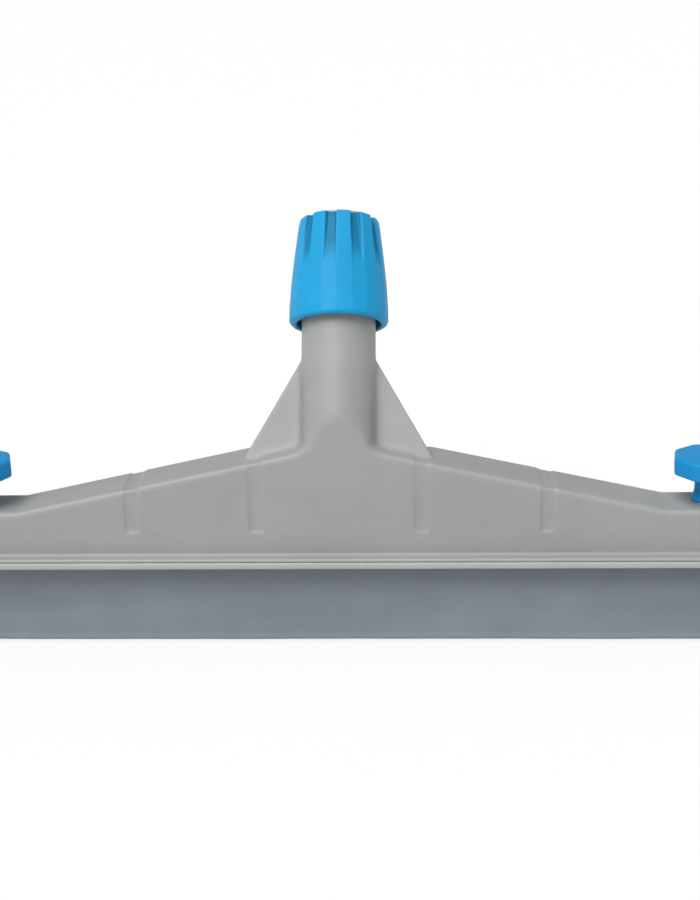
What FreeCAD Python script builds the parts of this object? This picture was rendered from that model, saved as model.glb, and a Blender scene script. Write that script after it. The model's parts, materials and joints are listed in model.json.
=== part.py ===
"""Floor squeegee head: hollow wing body, split-collet pole socket with a screw-down lock nut,
and a twin-lip blade cassette drawn up under the body by two end knobs.

Frame: +Z up, X along the blades, the front of the head faces -Y. The origin is the middle of
the front blade's wiping edge. Millimetres."""

import FreeCAD, Part
import math
import os

import Sketcher

SIZES = [
    ("head_length", 350, "length of the body and of the cassette lips"),
    ("wall", 2.6, "wall of the body moulding"),
    ("blade_thickness", 4.5, "thickness of one foam rubber blade"),
    ("blade_gap", 6.2, "space between the two blades"),
    ("blade_reach", 37.4, "height of blade that shows under the cassette"),
    ("tongue_inset", 5, "how far the cassette tongue ends inside the end of the body"),
    ("tongue_wall", 1.6, "side wall of the cassette tongue"),
    ("tongue_rise", 8.7, "top of the cassette tongue above the flange"),
    ("web_thickness", 2, "top web of the cassette tongue"),
    ("slide_clearance", 0.3, "gap between tongue and body, each side"),
    ("seat_clearance", 0.1, "gap between pieces that are laid together"),
    ("lip_thickness", 3.3, "height of the cassette lip"),
    ("parting_gap", 0.1, "gap between cassette lip and body flange"),
    ("flange_thickness", 1.5, "height of the body flange"),
    ("flange_reach", 5, "how far flange and lip stand out from the body"),
    ("nose_round", 0.3, "round on top of the lip's nose, where it meets the flange"),
    ("flange_round", 0.6, "round on top of the flange's nose"),
    ("lip_round", 1.2, "round under the nose of the lip"),
    ("land_rise", 19.7, "height of the end lands above the flange"),
    ("land_reach", 17.5, "how far an end land reaches inwards from its knob's axis"),
    ("wing_slope", 12.2, "slope of the wings, degrees"),
    ("rim_round", 2.5, "round along the front top edge"),
    ("back_round", 1.8, "round along the back top edge"),
    ("rib_inner", 35.5, "middle to the inner cross ribs"),
    ("rib_outer", 89, "middle to the outer cross ribs"),
    ("rib_thickness", 2.4, "thickness of a cross rib"),
    ("rib_clearance", 1.5, "gap between the ribs and the cassette"),
    ("mark_width", 6.4, "width of the recess outside a rib"),
    ("mark_depth", 0.75, "depth of the recess outside a rib"),
    ("tube_radius", 16, "outer radius of the socket tube"),
    ("tube_lean", 29.5, "lean of the socket tube, degrees from upright"),
    ("tube_root", 14, "how far the tube starts below its reference point"),
    ("arch_rise", 11.2, "top of the arch at the tube foot above the crown of the wings"),
    ("gusset_reach", 4.6, "how far the curved foot of the tube reaches out from the tube"),
    ("gusset_radius", 15, "radius of the curved foot of the tube"),
    ("gusset_top", 10.5, "half width at which the curved foot runs into the front of the tube"),
    ("mouth", 70, "tube mouth, along the tube axis"),
    ("thread_start", 50, "start of the threaded zone, along the tube axis"),
    ("thread_length", 18, "length of the threaded zone"),
    ("thread_height", 2.1, "how far the threaded zone stands out of the tube"),
    ("thread_clearance", 0.2, "radial gap between nut bore and threaded zone"),
    ("pole_radius", 12, "radius of the pole the collet grips"),
    ("pole_clearance", 0.2, "radial gap round the pole below the collet"),
    ("socket_floor", 6, "floor of the pole socket, along the tube axis"),
    ("collet_wall", 1.5, "wall of the collet sleeve"),
    ("collet_clearance", 0.1, "radial gap round the collet sleeve"),
    ("collet_depth", 20, "depth of the collet sleeve in the tube"),
    ("collet_proud", 1, "how far the collet stands out of the nut"),
    ("collet_ring", 8, "height of the unslotted ring at the foot of the collet"),
    ("collet_slot", 1.6, "width of a collet slot"),
    ("fin_thickness", 3, "thickness of the side fins"),
    ("fin_root", 15.5, "how far the fins start below the tube's reference point"),
    ("fin_top", 29.5, "top of the fins, along the tube axis"),
    ("fin_spread", 41.5, "half width over the fins at their foot"),
    ("nut_start", 45.1, "lower end of the lock nut, along the tube axis"),
    ("nut_length", 46.8, "length of the lock nut"),
    ("nut_wall_foot", 3.2, "wall of the lock nut at its foot"),
    ("nut_top_radius", 17.1, "radius of the lock nut at its top"),
    ("nut_crown", 170, "radius of the bowed side of the lock nut, seen from the side"),
    ("nut_cylinder", 24.4, "length of the nut's straight bore"),
    ("nut_lip", 2.5, "thickness of the nut's top lip"),
    ("nut_lip_reach", 0.6, "how far the nut's top lip reaches in past its neck"),
    ("nut_edge", 1, "bevel at both ends of the lock nut"),
    ("nut_skirt", 7, "height of the straight foot of the lock nut"),
    ("nut_wall_top", 2.5, "wall of the nut under its lip"),
    ("flute_count", 10, "flutes round the lock nut"),
    ("flute_radius", 2.9, "radius of a flute"),
    ("flute_tilt", 13, "tilt of a flute out of the nut axis, degrees"),
    ("flute_depth", 1.9, "depth of a flute at the top of the nut"),
    ("knob_inset", 18, "knob axis to the end of the body"),
    ("knob_radius", 15, "corner radius of the eight-sided knob head"),
    ("knob_corner", 3, "round on the eight corners"),
    ("knob_head", 8, "height of the knob head"),
    ("knob_edge", 1.4, "round on the knob's top and bottom edges"),
    ("knob_neck", 12, "height of the knob neck"),
    ("neck_radius", 5.1, "radius of the knob neck"),
    ("foot_radius", 6.4, "radius of the flared knob foot"),
    ("foot_height", 4, "height of the flare"),
    ("knob_turn_left", 38, "how the left knob head is turned, degrees"),
    ("knob_turn_right", 15, "how the right knob head is turned, degrees"),
    ("washer_thickness", 1, "washer under a knob"),
    ("stud_radius", 3, "thread radius of a stud"),
    ("stud_hole_clearance", 0.5, "radial gap round a stud in the body and cassette"),
    ("stud_fit", 0.06, "radial gap between stud and insert"),
    ("stud_top", 18, "top of the stud above the land"),
    ("stud_head_height", 4, "height of the stud's hammer head"),
    ("stud_head_length", 12, "length of the stud's hammer head"),
    ("stud_nut_flats", 10, "width across the flats of a stud nut"),
    ("stud_nut_height", 5, "height of a stud nut"),
    ("insert_radius", 4, "outer radius of a knob insert"),
    ("insert_length", 14, "length of a knob insert"),
    ("boss_radius", 7, "radius of the boss under a land"),
    ("boss_height", 1.2, "height of the boss under a land"),
    ("cap_thickness", 2, "thickness of a cassette end cap"),
    ("spacer_inset", 21, "end of the blade spacer to the knob axis"),
    ("spacer_rise", 1, "bottom of the spacer above the bottom of the lip"),
    ("screw_radius", 1.5, "shank radius of a spacer screw"),
    ("screw_head_radius", 3.2, "head radius of a spacer screw"),
    ("screw_head_height", 2, "head height of a spacer screw"),
    ("screw_length", 8, "length of a spacer screw"),
    ("screw_slot_length", 3.8, "length of the slot in a screw head"),
    ("screw_slot_width", 0.8, "width of the slot in a screw head"),
    ("pilot_spare", 0.5, "depth of a pilot hole past the end of its screw"),
]
SCREW_SHARES = (-0.85, -0.5, -0.12, 0.12, 0.5, 0.85)  # places of the screws along half the spacer
KNOB_SIDES = 8
OVERRUN = 1  # how far a cut runs past what it cuts
CLOSE = 0.01  # how near a level an edge has to lie to be on it

doc = FreeCAD.newDocument("floor_squeegee_head")
sheet = doc.addObject("Spreadsheet::Sheet", "Sizes")
for row, (alias, number, meaning) in enumerate(SIZES, start=1):
    sheet.set(f"A{row}", meaning)
    sheet.set(f"B{row}", str(number))
    sheet.setAlias(f"B{row}", alias)
doc.recompute()


def of_sheet(text):
    """The expression with each size's name turned into its cell, such as wall into Sizes.wall."""
    names = {alias for alias, _, _ in SIZES}
    out = []
    word = ""
    for letter in text + " ":
        if letter.isalnum() or letter == "_":
            word += letter
            continue
        out.append("Sizes." + word if word in names else word)
        out.append(letter)
        word = ""
    return "".join(out).strip()


def value(text):
    """What an expression is worth now."""
    return float(sheet.evalExpression(of_sheet(text)))


def drive(thing, path, text):
    """Binds one property of a document object to an expression on the sheet."""
    thing.setExpression(path, of_sheet(text))


# Places that several pieces share, as expressions on the sheet.
KNOB_PLACE = "(head_length / 2 - knob_inset)"
LAND_START = f"({KNOB_PLACE} - land_reach)"
SPACER_END = f"({KNOB_PLACE} - spacer_inset)"
MID_Y = "((blade_thickness + blade_gap) / 2)"
FRONT_Y = "(-blade_thickness / 2 - tongue_wall - slide_clearance - wall)"
DEPTH = "(2 * blade_thickness + blade_gap + 2 * (tongue_wall + slide_clearance + wall))"
TONGUE_WIDTH = "(2 * blade_thickness + blade_gap + 2 * tongue_wall)"
LIP_TOP = "(blade_reach + lip_thickness)"
FLANGE_LOW = "(blade_reach + lip_thickness + parting_gap)"
FLANGE_TOP = f"({FLANGE_LOW} + flange_thickness)"
TONGUE_TOP = f"({FLANGE_TOP} + tongue_rise)"
WEB_LOW = f"({TONGUE_TOP} - web_thickness)"
RIB_LOW = f"({TONGUE_TOP} + rib_clearance)"
LAND_TOP = f"({FLANGE_TOP} + land_rise)"
CROWN = f"({LAND_TOP} + {LAND_START} * tan(wing_slope))"
AXIS_Y = f"({FRONT_Y} + tube_radius * cos(tube_lean))"
AXIS_Z = f"({CROWN} + arch_rise - tube_radius * sin(tube_lean))"
TONGUE_END = "(head_length / 2 - tongue_inset)"
THREAD_RADIUS = "(tube_radius + thread_height)"
NUT_RADIUS = f"({THREAD_RADIUS} + thread_clearance)"
NUT_FOOT = f"({NUT_RADIUS} + nut_wall_foot)"
NECK_INNER = "(nut_top_radius - nut_wall_top)"
NUT_HOLE = f"({NECK_INNER} - nut_lip_reach)"
SLEEVE_RADIUS = "(pole_radius + collet_wall)"
GUSSET_SPREAD = "(tube_radius + gusset_reach)"


def along_tube(distance):
    """Y and Z of a point on the tube axis."""
    return (f"{AXIS_Y} + ({distance}) * sin(tube_lean)", f"{AXIS_Z} + ({distance}) * cos(tube_lean)")


def wing_height(x):
    """Height of the sloped top of a wing at a distance from the middle."""
    return f"({CROWN} - ({x}) * tan(wing_slope))"


def arch_height(x):
    """Height at which the tube, cut off flush with the front, ends at a distance from the middle."""
    half_chord = f"sqrt(tube_radius ^ 2 - ({x}) ^ 2)"
    rise = f"({half_chord} - tube_radius * cos(tube_lean) ^ 2) / sin(tube_lean)"
    return f"({AXIS_Z} + {rise} - seat_clearance)"


def new_body(name):
    body = doc.addObject("PartDesign::Body", name)
    body.Label = name
    return body


def origin_plane(body, role):
    return next(f for f in body.Origin.OriginFeatures if f.Role == role)


def sketch_on(body, name, role, shift=None):
    """An empty sketch on one origin plane, moved along its normal by an expression."""
    sketch = body.newObject("Sketcher::SketchObject", name)
    sketch.AttachmentSupport = [(origin_plane(body, role), "")]
    sketch.MapMode = "FlatFace"
    if shift is not None:
        drive(sketch, ".AttachmentOffset.Base.z", shift)
    return sketch


def lean_sketch(sketch, distance, upright=False):
    """Moves a sketch on XY_Plane to the tube axis: square to it, or standing in its plane."""
    lean = "90 - tube_lean" if upright else "tube_lean"
    axis = FreeCAD.Vector(1 if upright else -1, 0, 0)
    sketch.AttachmentOffset = FreeCAD.Placement(FreeCAD.Vector(), FreeCAD.Rotation(axis, value(lean)))
    y, z = along_tube(distance)
    drive(sketch, ".AttachmentOffset.Base.y", y)
    drive(sketch, ".AttachmentOffset.Base.z", z)
    drive(sketch, ".AttachmentOffset.Rotation.Angle", lean)


def outline(sketch, corners):
    """A closed outline. A corner is (x, y), or (x, y, radius, side) where an arc runs to the next
    corner; side is 1 if the arc bulges to the right of the way along it, and -1 to the left."""
    first = sketch.GeometryCount
    points = [FreeCAD.Vector(value(c[0]), value(c[1]), 0) for c in corners]
    count = len(points)
    ends = []
    for i, corner in enumerate(corners):
        here = points[i]
        there = points[(i + 1) % count]
        if len(corner) == 2:
            sketch.addGeometry(Part.LineSegment(here, there))
            ends.append((1, 2))
            continue
        radius = value(corner[2])
        half = (there - here) * 0.5
        right = FreeCAD.Vector(half.y, -half.x, 0).normalize() * corner[3]
        bulge = radius - math.sqrt(radius**2 - half.Length**2)
        sketch.addGeometry(Part.Arc(here, here + half + right * bulge, there))
        ends.append((1, 2) if corner[3] > 0 else (2, 1))
    for i in range(count):
        after = (i + 1) % count
        sketch.addConstraint(
            Sketcher.Constraint("Coincident", first + i, ends[i][1], first + after, ends[after][0])
        )
    for i, corner in enumerate(corners):
        for kind, text in (("DistanceX", corner[0]), ("DistanceY", corner[1])):
            index = sketch.addConstraint(
                Sketcher.Constraint(kind, -1, 1, first + i, ends[i][0], value(text))
            )
            drive(sketch, f"Constraints[{index}]", text)
        if len(corner) > 2:
            index = sketch.addConstraint(Sketcher.Constraint("Radius", first + i, value(corner[2])))
            drive(sketch, f"Constraints[{index}]", corner[2])


def rectangle(sketch, x_low, x_high, y_low, y_high):
    outline(sketch, [(x_low, y_low), (x_high, y_low), (x_high, y_high), (x_low, y_high)])


def circle(sketch, radius, x="0", y="0"):
    centre = FreeCAD.Vector(value(x), value(y), 0)
    index = sketch.addGeometry(Part.Circle(centre, FreeCAD.Vector(0, 0, 1), value(radius)))
    for kind, place in (("DistanceX", x), ("DistanceY", y)):
        number = sketch.addConstraint(Sketcher.Constraint(kind, -1, 1, index, 3, value(place)))
        drive(sketch, f"Constraints[{number}]", place)
    number = sketch.addConstraint(Sketcher.Constraint("Radius", index, value(radius)))
    drive(sketch, f"Constraints[{number}]", radius)


def pad(body, name, sketch, length, side="One side", flip=False):
    feature = body.newObject("PartDesign::Pad", name)
    feature.Profile = sketch
    feature.SideType = side
    feature.Reversed = flip
    drive(feature, "Length", length)
    return feature


def pocket(body, name, sketch, length, side="One side", flip=False):
    """A cut, which has to take something away."""
    doc.recompute()
    before = body.Shape.Volume
    feature = body.newObject("PartDesign::Pocket", name)
    feature.Profile = sketch
    feature.SideType = side
    feature.Reversed = flip
    drive(feature, "Length", length)
    doc.recompute()
    if not body.Shape.Volume < before - 1e-6:
        raise RuntimeError(f"{name} cuts nothing")
    return feature


def turn(body, name, sketch, kind="Revolution"):
    """The sketch turned all the way round its own upright axis."""
    feature = body.newObject(f"PartDesign::{kind}", name)
    feature.Profile = sketch
    feature.ReferenceAxis = (sketch, ["V_Axis"])
    feature.Angle = 360
    return feature


def ring_of(body, name, feature, count):
    pattern = body.newObject("PartDesign::PolarPattern", name)
    pattern.Originals = [feature]
    pattern.Axis = (origin_plane(body, "Z_Axis"), [""])
    pattern.Angle = 360
    if isinstance(count, str):
        drive(pattern, "Occurrences", count)
    else:
        pattern.Occurrences = count
    body.Tip = pattern
    return pattern


def fillet(body, name, wanted, radius):
    """Rounds the edges of the body so far for which wanted(edge) holds."""
    doc.recompute()
    base = body.Tip
    names = [f"Edge{i}" for i, e in enumerate(base.Shape.Edges, start=1) if wanted(e)]
    if not names:
        raise RuntimeError(f"{name} finds no edges")
    feature = body.newObject("PartDesign::Fillet", name)
    feature.Base = (base, names)
    drive(feature, "Radius", radius)
    doc.recompute()
    if "Invalid" in feature.State:
        raise RuntimeError(f"{name} failed")
    return feature


def place(thing, x="0", y="0", z="0"):
    for letter, text in zip("xyz", (x, y, z)):
        drive(thing, f".Placement.Base.{letter}", text)


def place_on_tube(body, distance):
    """Stands an upright body on the tube axis, leaning with the tube."""
    y, z = along_tube(distance)
    body.Placement = FreeCAD.Placement(
        FreeCAD.Vector(), FreeCAD.Rotation(FreeCAD.Vector(-1, 0, 0), value("tube_lean"))
    )
    place(body, y=y, z=z)
    drive(body, ".Placement.Rotation.Angle", "tube_lean")


def flat_at(edge, axis, level):
    """True if both ends of the edge lie at this level along axis 0, 1 or 2."""
    return all(abs(v.Point[axis] - level) < CLOSE for v in edge.Vertexes)


def wing_outline(drop, end, foot):
    """Corners of the wing shape: drop is the wall taken off the top and the ends."""
    slant = f"({drop}) / cos(wing_slope)"
    low_crown = f"{CROWN} - {slant}"
    land = f"{LAND_TOP} - ({drop})"
    return [
        (f"-({end})", foot),
        (end, foot),
        (end, land),
        (LAND_START, land),
        ("0", low_crown),
        (f"-{LAND_START}", land),
        (f"-({end})", land),
    ]


def make_head_body():
    body = new_body("head_body")
    half = "head_length / 2"
    sketch = sketch_on(body, "WingSketch", "XZ_Plane", f"-{FRONT_Y}")
    corners = wing_outline("0", half, FLANGE_LOW)
    foot_z = wing_height(GUSSET_SPREAD)
    top_z = arch_height("gusset_top")
    corners[4:5] = [
        (GUSSET_SPREAD, foot_z, "gusset_radius", -1),
        ("gusset_top", top_z),
        ("-gusset_top", top_z, "gusset_radius", -1),
        (f"-{GUSSET_SPREAD}", foot_z),
    ]
    outline(sketch, corners)
    pad(body, "WingBlock", sketch, DEPTH, flip=True)

    land = value(LAND_TOP)
    for name, level, radius in (
        ("FrontRim", value(FRONT_Y), "rim_round"),
        ("BackRim", value(f"{FRONT_Y} + {DEPTH}"), "back_round"),
    ):
        fillet(
            body,
            name,
            lambda e, level=level: flat_at(e, 1, level)
            and min(v.Z for v in e.Vertexes) > land - CLOSE
            and abs(e.CenterOfMass.x) > value("gusset_top"),
            radius,
        )

    sketch = sketch_on(body, "FrontMarkSketch", "XZ_Plane", f"-{FRONT_Y}")
    for rib in ("rib_inner", "rib_outer", "-rib_inner", "-rib_outer"):
        rectangle(
            sketch,
            f"{rib} - mark_width / 2",
            f"{rib} + mark_width / 2",
            RIB_LOW,
            f"{CROWN} + {OVERRUN}",
        )
    pocket(body, "FrontMarks", sketch, "mark_depth")
    sketch = sketch_on(body, "TopMarkSketch", "XZ_Plane", f"-{FRONT_Y}")
    for sign in ("", "-"):
        for rib in ("rib_inner", "rib_outer"):
            near = f"({rib} - mark_width / 2)"
            far = f"({rib} + mark_width / 2)"
            outline(
                sketch,
                [
                    (f"{sign}{near}", f"{wing_height(near)} - mark_depth"),
                    (f"{sign}{far}", f"{wing_height(far)} - mark_depth"),
                    (f"{sign}{far}", f"{wing_height(far)} + {OVERRUN}"),
                    (f"{sign}{near}", f"{wing_height(near)} + {OVERRUN}"),
                ],
            )
    pocket(body, "TopMarks", sketch, f"{DEPTH}")

    sketch = sketch_on(body, "FlangeSketch", "XY_Plane", FLANGE_LOW)
    rectangle(
        sketch,
        f"-{half}",
        half,
        f"{FRONT_Y} - flange_reach",
        f"{FRONT_Y} + {DEPTH} + flange_reach",
    )
    pad(body, "Flange", sketch, "flange_thickness")
    nose = value(f"{FRONT_Y} - flange_reach")
    tail = value(f"{FRONT_Y} + {DEPTH} + flange_reach")
    top = value(FLANGE_TOP)
    fillet(
        body,
        "FlangeNose",
        lambda e: flat_at(e, 2, top) and (flat_at(e, 1, nose) or flat_at(e, 1, tail)),
        "flange_round",
    )

    sketch = sketch_on(body, "TubeSketch", "XY_Plane")
    lean_sketch(sketch, "-tube_root")
    circle(sketch, "tube_radius")
    pad(body, "Tube", sketch, "mouth + tube_root")

    sketch = sketch_on(body, "FinSketch", "XY_Plane")
    lean_sketch(sketch, "0", upright=True)
    inner = "tube_radius - wall"
    low = "-fin_root"
    for sign in ("", "-"):
        outline(
            sketch,
            [
                (f"{sign}({inner})", low),
                (f"{sign}fin_spread", low),
                (f"{sign}tube_radius", "fin_top"),
                (f"{sign}({inner})", "fin_top"),
            ],
        )
    pad(body, "Fins", sketch, "fin_thickness", side="Symmetric")

    sketch = sketch_on(body, "ThreadSketch", "XY_Plane")
    lean_sketch(sketch, "thread_start")
    circle(sketch, THREAD_RADIUS)
    pad(body, "ThreadZone", sketch, "thread_length")

    sketch = sketch_on(body, "FrontTrimSketch", "XZ_Plane", f"-{FRONT_Y}")
    rectangle(sketch, "-fin_spread", "fin_spread", f"{FLANGE_TOP} + wall", f"{CROWN} + mouth")
    pocket(body, "FrontTrim", sketch, "mouth", flip=True)

    sketch = sketch_on(body, "HollowSketch", "XZ_Plane", f"-{FRONT_Y} - wall")
    outline(sketch, wing_outline("wall", f"{half} - wall", f"{FLANGE_LOW} - {OVERRUN}"))
    pocket(body, "Hollow", sketch, f"{DEPTH} - 2 * wall")

    sketch = sketch_on(body, "RibSketch", "XZ_Plane", f"-{FRONT_Y} - wall / 2")
    for rib in ("rib_inner", "rib_outer", "-rib_inner", "-rib_outer"):
        reach = rib.strip("-")
        rectangle(
            sketch,
            f"{rib} - rib_thickness / 2",
            f"{rib} + rib_thickness / 2",
            RIB_LOW,
            f"{wing_height(reach)} - wall / 2",
        )
    pad(body, "Ribs", sketch, f"{DEPTH} - wall", flip=True)

    sketch = sketch_on(body, "BossSketch", "XY_Plane", f"{LAND_TOP} - wall - boss_height")
    for sign in ("", "-"):
        circle(sketch, "boss_radius", f"{sign}{KNOB_PLACE}", MID_Y)
    pad(body, "Bosses", sketch, "boss_height + wall / 2")

    sketch = sketch_on(body, "StudHoleSketch", "XY_Plane", f"{LAND_TOP} + {OVERRUN}")
    for sign in ("", "-"):
        circle(sketch, "stud_radius + stud_hole_clearance", f"{sign}{KNOB_PLACE}", MID_Y)
    pocket(body, "StudHoles", sketch, f"wall + boss_height + 2 * {OVERRUN}")

    sketch = sketch_on(body, "BoreSketch", "XY_Plane")
    lean_sketch(sketch, "mouth")
    circle(sketch, "pole_radius + pole_clearance")
    pocket(body, "PoleBore", sketch, "mouth - socket_floor")
    sketch = sketch_on(body, "CounterboreSketch", "XY_Plane")
    lean_sketch(sketch, "mouth")
    circle(sketch, f"{SLEEVE_RADIUS} + collet_clearance")
    pocket(body, "ColletBore", sketch, f"collet_depth + {OVERRUN}")
    return body


def make_pole_collet():
    """Split sleeve: a plain part in the tube and a tapered part that the nut squeezes."""
    body = new_body("pole_collet")
    nut_top = "(nut_start + nut_length)"
    base = "(mouth - collet_depth)"
    cone_low = "(mouth + slide_clearance)"
    cone_high = f"({nut_top} - nut_lip - slide_clearance)"
    cone_run = f"({nut_top} - nut_lip - nut_start - nut_cylinder)"
    shrink = f"(({NUT_RADIUS} - {NECK_INNER}) / {cone_run})"
    cone_at = f"({NUT_RADIUS} - thread_clearance - {shrink} * ({{}} - nut_start - nut_cylinder))"
    low_radius = cone_at.format(cone_low)
    high_radius = cone_at.format(cone_high)
    top = f"{nut_top} + collet_proud - {base}"
    sketch = sketch_on(body, "ColletSketch", "XZ_Plane")
    outline(
        sketch,
        [
            ("pole_radius", "0"),
            (SLEEVE_RADIUS, "0"),
            (SLEEVE_RADIUS, f"{cone_low} - {base}"),
            (low_radius, f"{cone_low} - {base}"),
            (high_radius, f"{cone_high} - {base}"),
            (f"{NUT_HOLE} - 2 * collet_clearance", f"{cone_high} - {base}"),
            (f"{NUT_HOLE} - 2 * collet_clearance", top),
            ("pole_radius", top),
        ],
    )
    turn(body, "ColletSleeve", sketch)
    slot = sketch_on(body, "SlotSketch", "XZ_Plane")
    rectangle(slot, "0", f"{THREAD_RADIUS} + {OVERRUN}", "collet_ring", f"{top} + {OVERRUN}")
    cut = pocket(body, "ColletSlot", slot, "collet_slot", side="Symmetric")
    ring_of(body, "ColletSlots", cut, 4)
    place_on_tube(body, base)
    return body


def make_lock_nut():
    body = new_body("lock_nut")
    sketch = sketch_on(body, "NutSketch", "XZ_Plane")
    outline(
        sketch,
        [
            (NUT_RADIUS, "0"),
            (f"{NUT_FOOT} - nut_edge", "0"),
            (NUT_FOOT, "nut_edge"),
            (NUT_FOOT, "nut_skirt", "nut_crown", 1),
            ("nut_top_radius + nut_edge", "nut_length - 3 * nut_edge"),
            ("nut_top_radius", "nut_length - nut_edge"),
            ("nut_top_radius - nut_edge", "nut_length"),
            (NUT_HOLE, "nut_length"),
            (NUT_HOLE, "nut_length - nut_lip"),
            (NECK_INNER, "nut_length - nut_lip"),
            (NUT_RADIUS, "nut_cylinder"),
        ],
    )
    turn(body, "NutShell", sketch)
    flute = sketch_on(body, "FluteSketch", "XY_Plane")
    flute.AttachmentOffset = FreeCAD.Placement(
        FreeCAD.Vector(), FreeCAD.Rotation(FreeCAD.Vector(0, -1, 0), value("flute_tilt"))
    )
    drive(flute, ".AttachmentOffset.Base.x", "nut_top_radius + flute_radius - flute_depth")
    drive(flute, ".AttachmentOffset.Base.z", f"nut_length + {OVERRUN}")
    drive(flute, ".AttachmentOffset.Rotation.Angle", "flute_tilt")
    circle(flute, "flute_radius")
    cut = pocket(body, "Flute", flute, "nut_length")
    ring_of(body, "Flutes", cut, "flute_count")
    place_on_tube(body, "nut_start")
    return body


def make_blade_carrier():
    """Cassette: a lip all round under the flange, and a tongue that holds the blades."""
    body = new_body("blade_carrier")
    half = "head_length / 2"
    sketch = sketch_on(body, "LipSketch", "XY_Plane", "blade_reach")
    rectangle(
        sketch,
        f"-{half}",
        half,
        f"{FRONT_Y} - flange_reach",
        f"{FRONT_Y} + {DEPTH} + flange_reach",
    )
    pad(body, "Lip", sketch, "lip_thickness")
    nose = value(f"{FRONT_Y} - flange_reach")
    tail = value(f"{FRONT_Y} + {DEPTH} + flange_reach")
    top = value(LIP_TOP)
    fillet(
        body,
        "LipNose",
        lambda e: flat_at(e, 2, top) and (flat_at(e, 1, nose) or flat_at(e, 1, tail)),
        "nose_round",
    )
    low = value("blade_reach")
    fillet(
        body,
        "LipUnderside",
        lambda e: flat_at(e, 2, low) and (flat_at(e, 1, nose) or flat_at(e, 1, tail)),
        "lip_round",
    )
    sketch = sketch_on(body, "TongueSketch", "XY_Plane", f"{LIP_TOP} - web_thickness / 2")
    rectangle(
        sketch,
        f"-{TONGUE_END} + cap_thickness",
        f"{TONGUE_END} - cap_thickness",
        f"{MID_Y} - {TONGUE_WIDTH} / 2",
        f"{MID_Y} + {TONGUE_WIDTH} / 2",
    )
    pad(body, "Tongue", sketch, f"{TONGUE_TOP} - {LIP_TOP} + web_thickness / 2")
    sketch = sketch_on(body, "ChannelSketch", "XY_Plane", f"{WEB_LOW}")
    rectangle(
        sketch,
        f"-{TONGUE_END}",
        TONGUE_END,
        "-blade_thickness / 2",
        "blade_thickness * 1.5 + blade_gap",
    )
    pocket(body, "Channel", sketch, f"{WEB_LOW} - blade_reach + {OVERRUN}")
    sketch = sketch_on(body, "CapSlotSketch", "XY_Plane", f"{LIP_TOP} + {OVERRUN}")
    for sign in ("", "-"):
        rectangle(
            sketch,
            f"{sign}({TONGUE_END} - cap_thickness - slide_clearance)",
            f"{sign}({TONGUE_END} + slide_clearance)",
            f"{MID_Y} - {TONGUE_WIDTH} / 2",
            f"{MID_Y} + {TONGUE_WIDTH} / 2",
        )
    pocket(body, "CapSlots", sketch, f"lip_thickness / 2 + {OVERRUN}")
    sketch = sketch_on(body, "StudHoleSketch", "XY_Plane", f"{TONGUE_TOP} + {OVERRUN}")
    for sign in ("", "-"):
        circle(sketch, "stud_radius + seat_clearance", f"{sign}{KNOB_PLACE}", MID_Y)
    for share in SCREW_SHARES:
        circle(sketch, "screw_radius + seat_clearance", f"{share} * {SPACER_END}", MID_Y)
    pocket(body, "WebHoles", sketch, f"web_thickness + 2 * {OVERRUN}")
    return body


def make_blade(name, low, high):
    """One foam rubber blade: full length where it shows, and shorter where the tongue grips it."""
    body = new_body(name)
    half = "head_length / 2"
    grip = f"({TONGUE_END} - cap_thickness - seat_clearance)"
    shoulder = "blade_reach - seat_clearance"
    top = f"{WEB_LOW} - seat_clearance"
    sketch = sketch_on(body, "BladeSketch", "XZ_Plane", f"-({low})")
    outline(
        sketch,
        [
            (f"-{half}", "0"),
            (half, "0"),
            (half, shoulder),
            (grip, shoulder),
            (grip, top),
            (f"-{grip}", top),
            (f"-{grip}", shoulder),
            (f"-{half}", shoulder),
        ],
    )
    pad(body, "Blade", sketch, f"({high}) - ({low})", flip=True)
    return body


def make_blades():
    outer = "blade_thickness / 2 - seat_clearance"
    rear = "blade_thickness + blade_gap"
    return [
        make_blade("front_blade", f"-({outer})", "blade_thickness / 2"),
        make_blade("rear_blade", f"{rear} - blade_thickness / 2", f"{rear} + {outer}"),
    ]


def make_spacer_bar():
    body = new_body("spacer_bar")
    sketch = sketch_on(body, "SpacerSketch", "XY_Plane", "blade_reach + spacer_rise")
    rectangle(
        sketch,
        f"-{SPACER_END}",
        SPACER_END,
        "blade_thickness / 2 + seat_clearance",
        "blade_thickness / 2 + blade_gap - seat_clearance",
    )
    pad(body, "Spacer", sketch, f"{WEB_LOW} - blade_reach - spacer_rise - seat_clearance")
    sketch = sketch_on(body, "PilotSketch", "XY_Plane", WEB_LOW)
    for share in SCREW_SHARES:
        circle(sketch, "screw_radius + seat_clearance / 2", f"{share} * {SPACER_END}", MID_Y)
    pocket(body, "Pilots", sketch, "screw_length - web_thickness + pilot_spare")
    return body


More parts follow.
